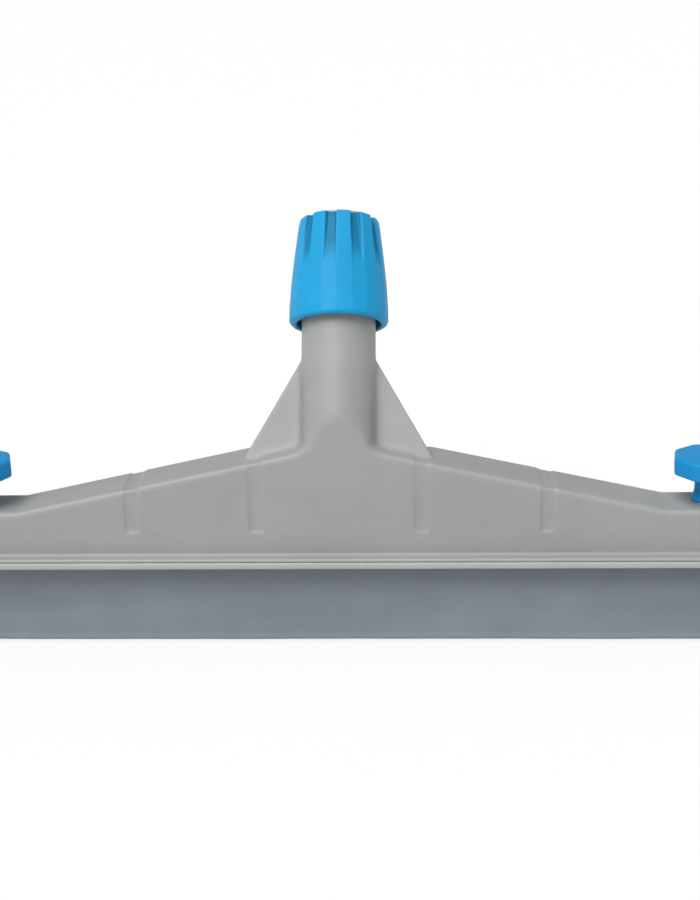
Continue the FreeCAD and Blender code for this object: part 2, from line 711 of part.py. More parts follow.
def make_spacer_screws():
    """Six pan-head screws, through the web into the spacer."""
    shapes = []
    for number, share in enumerate(SCREW_SHARES, start=1):
        head = doc.addObject("Part::Cylinder", f"ScrewHead{number}")
        drive(head, "Radius", "screw_head_radius")
        drive(head, "Height", "screw_head_height")
        place(head, f"{share} * {SPACER_END}", MID_Y, f"{TONGUE_TOP} + seat_clearance / 2")
        shank = doc.addObject("Part::Cylinder", f"ScrewShank{number}")
        drive(shank, "Radius", "screw_radius")
        drive(shank, "Height", "screw_length + screw_head_height / 2")
        place(shank, f"{share} * {SPACER_END}", MID_Y, f"{TONGUE_TOP} - screw_length")
        drive_slot = doc.addObject("Part::Box", f"ScrewSlot{number}")
        drive(drive_slot, "Length", "screw_slot_length")
        drive(drive_slot, "Width", "screw_slot_width")
        drive(drive_slot, "Height", "screw_head_height")
        place(
            drive_slot,
            f"{share} * {SPACER_END} - screw_slot_length / 2",
            f"{MID_Y} - screw_slot_width / 2",
            f"{TONGUE_TOP} + screw_head_height / 2",
        )
        whole = doc.addObject("Part::MultiFuse", f"ScrewWhole{number}")
        whole.Shapes = [head, shank]
        screw = doc.addObject("Part::Cut", f"Screw{number}")
        screw.Base = whole
        screw.Tool = drive_slot
        shapes.append(screw)
    group = doc.addObject("Part::Compound", "spacer_screws")
    group.Label = "spacer_screws"
    group.Links = shapes
    return group


def make_end_cap(side, sign):
    """Closes one end of the tongue. Its key stands between the two blades."""
    name = f"{side}_end_cap"
    body = new_body(name)
    outer = f"{sign}({TONGUE_END})"
    inner = f"{sign}({TONGUE_END} - cap_thickness + seat_clearance)"
    key_end = f"{sign}({KNOB_PLACE} + stud_head_length / 2 + slide_clearance)"
    low = f"{LIP_TOP} - lip_thickness / 2 + seat_clearance"
    sketch = sketch_on(body, "CapSketch", "XY_Plane", low)
    rectangle(
        sketch,
        inner,
        outer,
        f"{MID_Y} - {TONGUE_WIDTH} / 2 + seat_clearance",
        f"{MID_Y} + {TONGUE_WIDTH} / 2 - seat_clearance",
    )
    pad(body, "Cap", sketch, f"{TONGUE_TOP} - ({low})")
    sketch = sketch_on(body, "KeySketch", "XY_Plane", low)
    rectangle(
        sketch,
        key_end,
        f"{sign}({TONGUE_END} - cap_thickness / 2)",
        "blade_thickness / 2 + seat_clearance",
        "blade_thickness / 2 + blade_gap - seat_clearance",
    )
    pad(body, "Key", sketch, f"{WEB_LOW} - ({low}) - seat_clearance")
    return body


def make_stud(side, sign):
    """Hammer-head stud. Its flat head lies between the blades, under the web."""
    body = new_body(f"{side}_stud")
    sketch = sketch_on(body, "HeadSketch", "XY_Plane")
    rectangle(
        sketch,
        "-stud_head_length / 2",
        "stud_head_length / 2",
        "-blade_gap / 2 + seat_clearance",
        "blade_gap / 2 - seat_clearance",
    )
    pad(body, "HammerHead", sketch, "stud_head_height")
    sketch = sketch_on(body, "ShankSketch", "XY_Plane")
    circle(sketch, "stud_radius")
    low = f"{WEB_LOW} - seat_clearance - stud_head_height"
    pad(body, "Shank", sketch, f"{LAND_TOP} + stud_top - ({low})")
    place(body, f"{sign}{KNOB_PLACE}", MID_Y, low)
    return body


def make_stud_nut(side, sign):
    body = new_body(f"{side}_stud_nut")
    sketch = sketch_on(body, "NutSketch", "XY_Plane")
    reach = "stud_nut_flats / 2 / cos(30)"
    outline(sketch, [(f"{reach} * cos({60 * i})", f"{reach} * sin({60 * i})") for i in range(6)])
    pad(body, "HexNut", sketch, "stud_nut_height")
    sketch = sketch_on(body, "HoleSketch", "XY_Plane", f"stud_nut_height + {OVERRUN}")
    circle(sketch, "stud_radius + stud_fit")
    pocket(body, "NutHole", sketch, f"stud_nut_height + 2 * {OVERRUN}")
    place(body, f"{sign}{KNOB_PLACE}", MID_Y, f"{TONGUE_TOP} + seat_clearance")
    return body


def make_washer(side, sign):
    body = new_body(f"{side}_knob_washer")
    sketch = sketch_on(body, "WasherSketch", "XY_Plane")
    circle(sketch, "foot_radius - seat_clearance")
    circle(sketch, "stud_radius + stud_hole_clearance")
    pad(body, "Washer", sketch, "washer_thickness - 2 * seat_clearance")
    place(body, f"{sign}{KNOB_PLACE}", MID_Y, f"{LAND_TOP} + seat_clearance")
    return body


def make_knob(side, sign):
    """Eight-sided clamping knob on a flared neck, bored for its threaded insert."""
    body = new_body(f"{side}_knob")
    sketch = sketch_on(body, "NeckSketch", "XZ_Plane")
    outline(
        sketch,
        [
            ("0", "0"),
            ("foot_radius", "0"),
            ("foot_radius", "foot_height / 4", "foot_height * 2", -1),
            ("neck_radius", "foot_height"),
            ("neck_radius", "knob_neck + knob_head / 2"),
            ("0", "knob_neck + knob_head / 2"),
        ],
    )
    turn(body, "Neck", sketch)
    sketch = sketch_on(body, "HeadSketch", "XY_Plane", "knob_neck")
    angles = [f"({360 / KNOB_SIDES * i} + knob_turn_{side})" for i in range(KNOB_SIDES)]
    outline(sketch, [(f"knob_radius * cos{a}", f"knob_radius * sin{a}") for a in angles])
    pad(body, "Head", sketch, "knob_head")
    low = value("knob_neck")
    high = value("knob_neck + knob_head")
    outside = value("neck_radius + foot_radius") / 2

    def off_axis(edge):
        return math.hypot(edge.Vertexes[0].X, edge.Vertexes[0].Y)

    fillet(
        body,
        "Corners",
        lambda e: e.BoundBox.ZMin > low - CLOSE and off_axis(e) > outside
        and not flat_at(e, 2, low)
        and not flat_at(e, 2, high),
        "knob_corner",
    )
    fillet(body, "TopEdge", lambda e: flat_at(e, 2, high), "knob_edge")
    fillet(body, "UnderEdge", lambda e: flat_at(e, 2, low) and off_axis(e) > outside, "knob_edge / 2")
    sketch = sketch_on(body, "SocketSketch", "XY_Plane")
    circle(sketch, "insert_radius")
    pocket(body, "InsertSocket", sketch, "insert_length + foot_height", flip=True)
    place(body, f"{sign}{KNOB_PLACE}", MID_Y, f"{LAND_TOP} + washer_thickness")
    return body


def make_insert(side, sign):
    """Brass insert with a running fit on the stud, moulded into the knob."""
    body = new_body(f"{side}_knob_insert")
    sketch = sketch_on(body, "InsertSketch", "XY_Plane")
    circle(sketch, "insert_radius")
    circle(sketch, "stud_radius + stud_fit")
    pad(body, "Insert", sketch, "insert_length")
    place(body, f"{sign}{KNOB_PLACE}", MID_Y, f"{LAND_TOP} + washer_thickness + foot_height - seat_clearance")
    return body


parts = [make_head_body(), make_pole_collet(), make_lock_nut(), make_blade_carrier()]
parts += make_blades()
parts += [make_spacer_bar(), make_spacer_screws()]
for side, sign in (("left", "-"), ("right", "")):
    parts.append(make_end_cap(side, sign))
    parts.append(make_stud(side, sign))
    parts.append(make_stud_nut(side, sign))
    parts.append(make_washer(side, sign))
    parts.append(make_knob(side, sign))
    parts.append(make_insert(side, sign))
doc.recompute()

faults = [o.Name for o in doc.Objects if "Invalid" in o.State or "Error" in o.State]
if faults:
    raise RuntimeError(f"objects that failed: {faults}")
for part in parts:
    if part.Shape.isNull() or not part.Shape.isValid():
        raise RuntimeError(f"{part.Label} has no valid shape")
os.makedirs("parts", exist_ok=True)
for part in parts:
    part.Shape.exportStep(f"parts/{part.Label}.step")
    box = part.Shape.BoundBox
    sides = (box.XMin, box.XMax, box.YMin, box.YMax, box.ZMin, box.ZMax)
    print(part.Label, len(part.Shape.Solids), round(part.Shape.Volume), [round(v, 1) for v in sides])
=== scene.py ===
import json
import math

import bpy
import numpy as np
from mathutils import Matrix, Vector


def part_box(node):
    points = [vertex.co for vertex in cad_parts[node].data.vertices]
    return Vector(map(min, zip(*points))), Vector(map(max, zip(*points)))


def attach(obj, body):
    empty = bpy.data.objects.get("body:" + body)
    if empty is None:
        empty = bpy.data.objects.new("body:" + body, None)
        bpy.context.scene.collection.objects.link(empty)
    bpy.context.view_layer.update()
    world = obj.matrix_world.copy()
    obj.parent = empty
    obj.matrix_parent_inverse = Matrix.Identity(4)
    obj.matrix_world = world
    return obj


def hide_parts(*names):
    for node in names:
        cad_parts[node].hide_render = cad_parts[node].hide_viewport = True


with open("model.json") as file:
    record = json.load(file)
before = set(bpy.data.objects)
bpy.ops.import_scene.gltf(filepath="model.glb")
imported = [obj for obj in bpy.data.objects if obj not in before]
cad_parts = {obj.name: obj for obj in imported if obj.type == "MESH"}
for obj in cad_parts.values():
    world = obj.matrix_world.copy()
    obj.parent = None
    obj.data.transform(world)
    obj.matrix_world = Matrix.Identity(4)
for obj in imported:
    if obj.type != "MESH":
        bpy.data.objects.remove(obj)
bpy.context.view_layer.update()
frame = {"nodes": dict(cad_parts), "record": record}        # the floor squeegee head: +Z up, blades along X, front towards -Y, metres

MM = 0.001
RECESS_SHADE_ATTRIBUTE = "sunk"  # a mesh's mask of painted shade on what lies deep in flutes and bores

# ---------------------------------------------------------------- places read from the frame

MOUNTS = {mount["name"]: mount for mount in frame["record"]["mounts"]}
SOCKET = MOUNTS["pole_socket"]
TUBE_AXIS = Vector(SOCKET["axis"]).normalized()
COLLET_TOP = Vector(SOCKET["pos_m"])
COLLET_PROUD = 1 * MM


def on_tube(below_top):
    """The matrix of a frame on the tube axis, so far below the top of the collet. Its Z runs up
    the tube, its X along the blades, and its -Y looks to the front."""
    across = TUBE_AXIS.cross(Vector((1, 0, 0)))
    turn = Matrix(((1, 0, 0), across, TUBE_AXIS)).transposed().to_4x4()
    return Matrix.Translation(COLLET_TOP - TUBE_AXIS * below_top) @ turn


# ---------------------------------------------------------------- camera, light and floor

# Angles are in degrees.
VIEW_YAW = 2.884
VIEW_ELEVATION = 19.125
VIEW_ROLL = -1.298
VIEW_DISTANCE = 0.6731
VIEW_TARGET = Vector((5.47, -6.75, 90.1)) * MM
SENSOR = 36.0
LENS = 64.04
FLOOR_REACH = 30
FLOOR_COLOUR = (0.86, 0.86, 0.86, 1)
SKY_LEVELS = ((0.0, 0.98), (0.1, 0.9), (0.3, 0.36), (1.0, 0.3))


def heading(azimuth, elevation):
    """The direction from the object to a far place. Azimuth 0 is the front, and 90 the right."""
    side, rise = math.radians(azimuth), math.radians(elevation)
    level = math.cos(rise)
    return Vector((math.sin(side) * level, -math.cos(side) * level, math.sin(rise)))


def make_camera():
    yaw, roll = math.radians(VIEW_YAW), math.radians(VIEW_ROLL)
    back = heading(VIEW_YAW, VIEW_ELEVATION)
    right = Vector((math.cos(yaw), math.sin(yaw), 0))
    up = back.cross(right)
    tilted_right = math.cos(roll) * right + math.sin(roll) * up
    tilted_up = math.cos(roll) * up - math.sin(roll) * right
    camera = bpy.data.objects.new("camera", bpy.data.cameras.new("camera"))
    camera.data.sensor_width = SENSOR
    camera.data.lens = LENS
    camera.data.clip_start = 0.01
    camera.data.clip_end = 100
    turn = Matrix((tilted_right, tilted_up, back)).transposed().to_4x4()
    camera.matrix_world = Matrix.Translation(VIEW_TARGET + back * VIEW_DISTANCE) @ turn
    bpy.context.scene.collection.objects.link(camera)
    bpy.context.scene.camera = camera


def make_sun(name, azimuth, elevation, strength, softness):
    """A far light as wide as softness, in degrees."""
    lamp = bpy.data.objects.new(name, bpy.data.lights.new(name, "SUN"))
    lamp.data.energy = strength
    lamp.data.angle = math.radians(softness)
    lamp.rotation_mode = "QUATERNION"
    lamp.rotation_quaternion = heading(azimuth, elevation).to_track_quat("Z", "Y")
    bpy.context.scene.collection.objects.link(lamp)


# ---------------------------------------------------------------- shader maths


class Wire:
    """A socket that carries a number, so that a sum of sockets is written as a sum."""

    def __init__(self, finish, socket):
        self.finish = finish
        self.socket = socket

    def maths(self, operation, first, second):
        return self.finish.add("ShaderNodeMath", {"operation": operation}, {0: first, 1: second})

    def __add__(self, other):
        return self.maths("ADD", self, other)

    def __radd__(self, other):
        return self.maths("ADD", other, self)

    def __sub__(self, other):
        return self.maths("SUBTRACT", self, other)

    def __rsub__(self, other):
        return self.maths("SUBTRACT", other, self)

    def __mul__(self, other):
        return self.maths("MULTIPLY", self, other)

    def __rmul__(self, other):
        return self.maths("MULTIPLY", other, self)


class Finish:
    """The nodes of a material or a world, all made by add()."""

    def __init__(self, owner):
        owner.use_nodes = True
        self.owner = owner
        self.tree = owner.node_tree
        self.tree.nodes.clear()

    def add(self, kind, settings=None, sockets=None, output=0):
        node = self.tree.nodes.new(kind)
        for name, setting in (settings or {}).items():
            if name == "stops":
                ramp = node.color_ramp
                ramp.elements[0].position, ramp.elements[0].color = setting[0]
                ramp.elements[1].position, ramp.elements[1].color = setting[-1]
                for position, colour in setting[1:-1]:
                    ramp.elements.new(position).color = colour
            else:
                setattr(node, name, setting)
        for name, held in (sockets or {}).items():
            if isinstance(held, Wire):
                self.tree.links.new(held.socket, node.inputs[name])
            else:
                node.inputs[name].default_value = held
        return Wire(self, node.outputs[output]) if node.outputs else None

    def place(self, stretch=(1, 1, 1)):
        """Where a point is on the piece, in metres, squeezed by stretch."""
        place = self.add("ShaderNodeTexCoord", output="Object")
        return self.add("ShaderNodeVectorMath", {"operation": "MULTIPLY"}, {0: place, 1: stretch})

    def noise(self, size, detail=3.0, stretch=(1, 1, 1), roughness=0.5):
        """Soft random variation from 0 to 1 whose lumps are about size metres across."""
        sockets = {"Vector": self.place(stretch), "Scale": 1 / size}
        sockets.update({"Detail": detail, "Roughness": roughness})
        return self.add("ShaderNodeTexNoise", {}, sockets)

    def spread(self, wire, low, high):
        """0 where wire is under low, 1 where it is over high."""
        sockets = {"Value": wire, "From Min": low, "From Max": high}
        return self.add("ShaderNodeMapRange", {"clamp": True}, sockets)

    def blend(self, share, first, second):
        """The colour first where share is 0 and second where it is 1."""
        sockets = {0: share, 6: first, 7: second}
        return self.add("ShaderNodeMix", {"data_type": "RGBA"}, sockets, output=2)

    def bump(self, height, depth, strength=1.0, under=None):
        sockets = {"Strength": strength, "Distance": depth, "Height": height}
        if under is not None:
            sockets["Normal"] = under
        return self.add("ShaderNodeBump", {}, sockets)

    def edges(self):
        """0.5 on flat places, more on outer edges and less in hollows."""
        return self.add("ShaderNodeNewGeometry", output="Pointiness")

    def close(self, **sockets):
        """Ends the material with one shader. A socket's name is written with _ for a space."""
        named = {}
        for name, held in sockets.items():
            named[name.replace("_", " ").title().replace("Ior", "IOR")] = held
        shader = self.add("ShaderNodeBsdfPrincipled", {}, named)
        self.add("ShaderNodeOutputMaterial", {}, {"Surface": shader})
        return self.owner


TONES = (0.36, 0.64)  # the part of mixed noises that runs from the dark to the pale shade
# Pointiness ranges of the lighter outer edges (a painted highlight with a little scuffing) and of the
# painted shade in hollows.
EDGES_SCUFFED_AND_HIGHLIT = (0.52, 0.57)
HOLLOW_SHADE_RANGE = (0.03, 0.09)
RAGGED = 0.02  # how far mottle shifts the border of the lighter edges and of the painted shade in hollows
SKIN_HEIGHT = 0.02 * MM
WAVE_HEIGHT = 0.25 * MM
PORE_HEIGHT = 0.06 * MM
# Heights on the blade of the painted highlight along its lower edge and of the painted shadow under
# the cassette's lip.
LOWER_EDGE_HIGHLIGHT_HEIGHT = 3.2 * MM
UNDER_LIP_SHADOW_HEIGHTS = (28 * MM, 39 * MM)


def shade(colour, factor):
    return tuple(min(1.0, c * factor) for c in colour) + (1.0,)


def moulded_plastic(
    name, colour, roughness, grain=0.35 * MM, gloss=0.5, scuff_and_highlight_share=0.45, hollow_shade_share=0.3, recess_shade_factor=None
):
    """Moulded polypropylene: clouded colour, faint flow streaks, a fine spark-eroded grain, outer
    edges lightened by a painted highlight with a little scuffing, and painted shade in hollows. With a
    recess shade factor, the mesh's own mask says where painted shade darkens its recesses."""
    f = Finish(bpy.data.materials.new(name))
    clouds = f.noise(38 * MM, detail=4)
    streaks = f.noise(16 * MM, detail=3, stretch=(0.22, 1, 1))
    mottle = f.noise(3.2 * MM, detail=5, roughness=0.65)
    speck = f.noise(0.5 * MM, detail=2)
    tone = clouds * 0.4 + streaks * 0.3 + mottle * 0.2 + speck * 0.1
    base = f.blend(f.spread(tone, *TONES), shade(colour, 0.93), shade(colour, 1.07))
    # Outer edges are lightened: a painted highlight along rims and ribs, with a little scuffing. The
    # same mask also makes them glossier.
    scuffed_and_highlit_edges = f.spread(f.edges() + mottle * RAGGED, *EDGES_SCUFFED_AND_HIGHLIT) * scuff_and_highlight_share
    base = f.blend(scuffed_and_highlit_edges, base, shade(colour, 1.3))
    # Hollows and inner corners are darkened: painted shade where the light is hemmed in.
    hollow_shade = f.spread(0.5 - f.edges() + mottle * RAGGED, *HOLLOW_SHADE_RANGE) * hollow_shade_share
    base = f.blend(hollow_shade, base, shade(colour, 0.62))
    # Where the mesh carries its mask, the marked recesses are darkened with painted shade.
    if recess_shade_factor is not None:
        sunk = f.add("ShaderNodeAttribute", {"attribute_name": RECESS_SHADE_ATTRIBUTE}, output="Fac")
        base = f.blend(sunk * (0.8 + mottle * 0.4), base, shade(colour, recess_shade_factor))
    skin = f.noise(grain, detail=2, roughness=0.6)
    waves = f.noise(22 * MM, detail=1)
    normal = f.bump(waves, WAVE_HEIGHT, 0.5)
    normal = f.bump(skin, SKIN_HEIGHT, 0.6, under=normal)
    matt = roughness - 0.05 + mottle * 0.12 - scuffed_and_highlit_edges * 0.1
    return f.close(base_color=base, roughness=matt, specular_ior_level=gloss, normal=normal)


def foam_rubber(name, colour):
    """Cellular rubber cut from sheet: pores, a dusty skin, a painted highlight along the lower edge,
    and a painted shadow along the top, where it sits in the cassette."""
    f = Finish(bpy.data.materials.new(name))
    clouds = f.noise(30 * MM, detail=4)
    bands = f.noise(9 * MM, detail=3, stretch=(0.08, 1, 1))
    cells = f.add("ShaderNodeTexVoronoi", {}, {"Vector": f.place(), "Scale": 1 / (0.65 * MM)})
    pores = f.spread(cells, 0.08, 0.4)
    fine = f.noise(0.35 * MM, detail=3, roughness=0.7)
    tone = clouds * 0.5 + bands * 0.3 + fine * 0.2
    base = f.blend(f.spread(tone, *TONES), shade(colour, 0.9), shade(colour, 1.1))
    base = f.blend(0.55 + pores * 0.45, shade(colour, 0.7), base)
    height = f.add("ShaderNodeSeparateXYZ", {}, {"Vector": f.place()}, output="Z")
    # The lower edge is paler: a painted highlight along it.
    lower_edge_highlight = f.spread(LOWER_EDGE_HIGHLIGHT_HEIGHT - height + clouds * (1.5 * MM), 0.0, 1.6 * MM) * 0.35
    base = f.blend(lower_edge_highlight, base, shade(colour, 1.4))
    # The top is darker: a painted shadow cast by the cassette's lip.
    under_lip_shadow = f.spread(height + clouds * (4 * MM), *UNDER_LIP_SHADOW_HEIGHTS) * 0.55
    base = f.blend(under_lip_shadow, base, shade(colour, 0.55))
    normal = f.bump(f.noise(14 * MM, detail=2, stretch=(0.3, 1, 1)), 0.3 * MM, 0.5)
    normal = f.bump(pores * 0.6 + fine * 0.4, PORE_HEIGHT, 0.7, under=normal)
    return f.close(
        base_color=base,
        roughness=0.78 + fine * 0.14,
        specular_ior_level=0.3,
        sheen_weight=0.15,
        sheen_roughness=0.6,
        normal=normal,
    )


def plated_metal(name, colour, dull, rough_spots):
    """Turned and plated metal: fine rings, clouded plating and spots of a dull colour."""
    f = Finish(bpy.data.materials.new(name))
    plate = f.noise(2.4 * MM, detail=4)
    rings = f.noise(0.25 * MM, detail=2, stretch=(0.15, 0.15, 1))
    spots = f.spread(f.noise(1.1 * MM, detail=3), 0.58, 0.7)
    base = f.blend(f.spread(plate, 0.35, 0.65), shade(colour, 0.88), shade(colour, 1.08))
    base = f.blend(spots * 0.5, base, dull + (1.0,))
    normal = f.bump(rings, 0.015 * MM, 0.6)
    matt = 0.26 + plate * 0.12 + spots * rough_spots
    return f.close(base_color=base, roughness=matt, metallic=1.0, normal=normal)


# ---------------------------------------------------------------- mesh tools

WELD_REACH = 0.002 * MM


def show(name, mesh, material, body, slot, *stands_for):
    """One visible piece that rides on a body and stands for its CAD nodes."""
    piece = bpy.data.objects.new(name, mesh)
    bpy.context.scene.collection.objects.link(piece)
    mesh.materials.clear()
    mesh.materials.append(material)
    mesh.polygons.foreach_set("use_smooth", [True] * len(mesh.polygons))
    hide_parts(*stands_for)
    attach(piece, body)


def through(mesh, *steps):
    """The mesh after modifiers, each given as (type, its settings)."""
    holder = bpy.data.objects.new("holder", mesh)
    bpy.context.scene.collection.objects.link(holder)
    for kind, settings in steps:
        modifier = holder.modifiers.new(kind, kind)
        for name, setting in settings.items():
            setattr(modifier, name, setting)
    graph = bpy.context.evaluated_depsgraph_get()
    made = bpy.data.meshes.new_from_object(holder.evaluated_get(graph))
    bpy.data.objects.remove(holder)
    return made


def points_of(mesh, what="co"):
    flat = np.zeros(len(mesh.vertices) * 3)
    mesh.vertices.foreach_get(what, flat)
    return flat.reshape(-1, 3)


def ease(mesh, rounds, where=1.0, hollows_only=False):
    """Draws each point towards its neighbours, or with hollows_only just outwards, which fills
    hollow corners. Where says how much of that each point takes."""
    places = points_of(mesh)
    normals = points_of(mesh, "normal")
    ends = np.zeros(len(mesh.edges) * 2, int)
    mesh.edges.foreach_get("vertices", ends)
    here = np.concatenate((ends[0::2], ends[1::2]))
    there = np.concatenate((ends[1::2], ends[0::2]))
    count = len(places)
    valence = np.bincount(here, minlength=count)[:, None]
    share = np.reshape(0.5 * where, (-1, 1))
    for _ in range(rounds):
        sums = [np.bincount(here, places[there, k], count) for k in range(3)]
        drift = np.stack(sums, 1) / valence - places
        if hollows_only:
            rise = np.maximum((drift * normals).sum(1, keepdims=True), 0)
            drift = rise * normals
        places += drift * share
    mesh.vertices.foreach_set("co", places.ravel())
    mesh.update()


def fade(distance, near, far):
    """1 up to near, 0 from far, and smooth between."""
    t = np.clip((far - distance) / (far - near), 0, 1)
    return t * t * (3 - 2 * t)


def skin_of(node, voxel):
    """A fine even skin over a CAD node."""
    weld = ("WELD", {"merge_threshold": WELD_REACH})
    remesh = ("REMESH", {"mode": "VOXEL", "voxel_size": voxel})
    return through(frame["nodes"][node].data.copy(), weld, remesh)


def lighter(mesh, share):
    """Fewer faces where the mesh is flat."""
    return through(mesh, ("DECIMATE", {"ratio": share}))


# ---------------------------------------------------------------- the pieces

BODY_GREY = (0.285, 0.293, 0.281)
CASSETTE_GREY = (0.36, 0.372, 0.354)
COLLET_GREY = (0.36, 0.365, 0.35)
NUT_BLUE = (0.014, 0.29, 0.56)
KNOB_BLUE = (0.01, 0.235, 0.52)
FOAM_GREY = (0.182, 0.208, 0.234)
ZINC = (0.62, 0.63, 0.62)
ZINC_DULL = (0.4, 0.4, 0.38)
BRASS = (0.72, 0.52, 0.22)
BRASS_DULL = (0.4, 0.27, 0.1)


# In a pair ending in FADE, a softening is full up to the first distance and ends at the second.
HEAD_VOXEL = 0.62 * MM
SOFTENING = 70
TUBE_BORE = 15.4 * MM
TUBE_BORE_DEPTH = 90 * MM
TUBE_FOOT_DEPTH = 88  # millimetres, turned to metres along the axis
TUBE_FOOT_FADE = (40 * MM, 62 * MM)
FAR_SOFTENING = 0.06
WING_FACE_BACK = 5 * MM
ARCH_HEIGHT = 104 * MM
ARCH_ACROSS_FADE = (10 * MM, 15 * MM)
ARCH_BACK_FADE = (2 * MM, 6 * MM)
ARCH_UP_FADE = (8 * MM, 16 * MM)


def make_head(material):
    """The hollow body with soft inner corners at the tube foot and a soft arch on the front."""
    mesh = skin_of("head_body", HEAD_VOXEL)
    places = points_of(mesh)
    from_top = places - np.array(COLLET_TOP)
    along = from_top @ np.array(TUBE_AXIS)
    off_axis = np.linalg.norm(from_top - np.outer(along, np.array(TUBE_AXIS)), axis=1)
    foot = np.array(COLLET_TOP - TUBE_AXIS * TUBE_FOOT_DEPTH * MM)
    near_foot = fade(np.linalg.norm(places - foot, axis=1), *TUBE_FOOT_FADE)
    bore = (off_axis < TUBE_BORE) & (along > -TUBE_BORE_DEPTH)
    foot_share = FAR_SOFTENING + (1 - FAR_SOFTENING) * near_foot
    ease(mesh, SOFTENING, np.where(bore, 0, foot_share), hollows_only=True)
    wing_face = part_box("head_body")[0].y + WING_FACE_BACK
    arch = fade(np.abs(places[:, 0]), *ARCH_ACROSS_FADE)
    arch *= fade(places[:, 1] - wing_face, *ARCH_BACK_FADE)
    arch *= fade(np.abs(places[:, 2] - ARCH_HEIGHT), *ARCH_UP_FADE)
    ease(mesh, SOFTENING, np.where(bore, 0, arch))
    ease(mesh, 1)
    show("head_moulding", lighter(mesh, share=0.3), material, "head", "body_grey", "head_body")


def make_moulded(node, body, material, slot, voxel, rounds=2, share=0.4):
    """A CAD piece with its edges eased as a mould leaves them. Share is the part of its
    faces that stays."""
    mesh = skin_of(node, voxel)
    ease(mesh, 4, hollows_only=True)
    ease(mesh, rounds)
    show(f"{node}_moulding", lighter(mesh, share), material, body, slot, node)


# Heights on the nut count from its foot. The profile's pairs are height and radius in millimetres.
NUT_LENGTH = 46.8 * MM
NUT_PROFILE = ((0.0, 21.5), (7.0, 21.5), (19.0, 20.75), (31.0, 19.45), (43.8, 17.9), (46.8, 17.3))
NUT_BORE = 18.3 * MM
NUT_BORE_LENGTH = 24.4 * MM
NUT_NECK = 14.6 * MM
NUT_HOLE = 14.0 * MM
NUT_LIP = 2.5 * MM
NUT_EDGE = 1.1 * MM
NUT_FOOT_EDGE = 1.9 * MM
NUT_BEVEL = 0.3 * MM
NUT_RIM_SHARES = (0.7, 0.4, 0.15)
NUT_HOLE_EDGE = 0.4 * MM
NUT_NECK_FLARE = 0.2 * MM
NUT_NECK_DROP = 1 * MM
NUT_FACETING = 0.6
THREAD_PITCH = 3 * MM
THREAD_DEPTH = 0.8 * MM
THREAD_STEPS = 6
THREAD_FLOOR = 1.4
THREAD_FLANKS = 4
THREAD_END = 1 * MM
THREAD_MIDDLE = 13 * MM
THREAD_FADE = (9 * MM, 11.5 * MM)
FLUTES = 10
FLUTE_TURN = 9.3  # degrees
FLUTE_DEPTH = 2.5 * MM
FLUTE_FOOT = 22 * MM
FLUTE_GROWTH = 0.9
FLUTE_SHARE = 0.4
FLUTE_WALL = 0.045
SKIRT_DEPTH = 0.22 * MM
SKIRT_FADE = (-5 * MM, -1 * MM)
# The depth of a flute floor over which the painted shade in the flutes sets in.
RECESS_SHADE_FADE = (-1.4 * MM, -0.3 * MM)
COLUMNS = 36 * FLUTES
EDGE_ROWS = 7
SIDE_ROWS = 62
ROW_GAP = 0.7 * MM


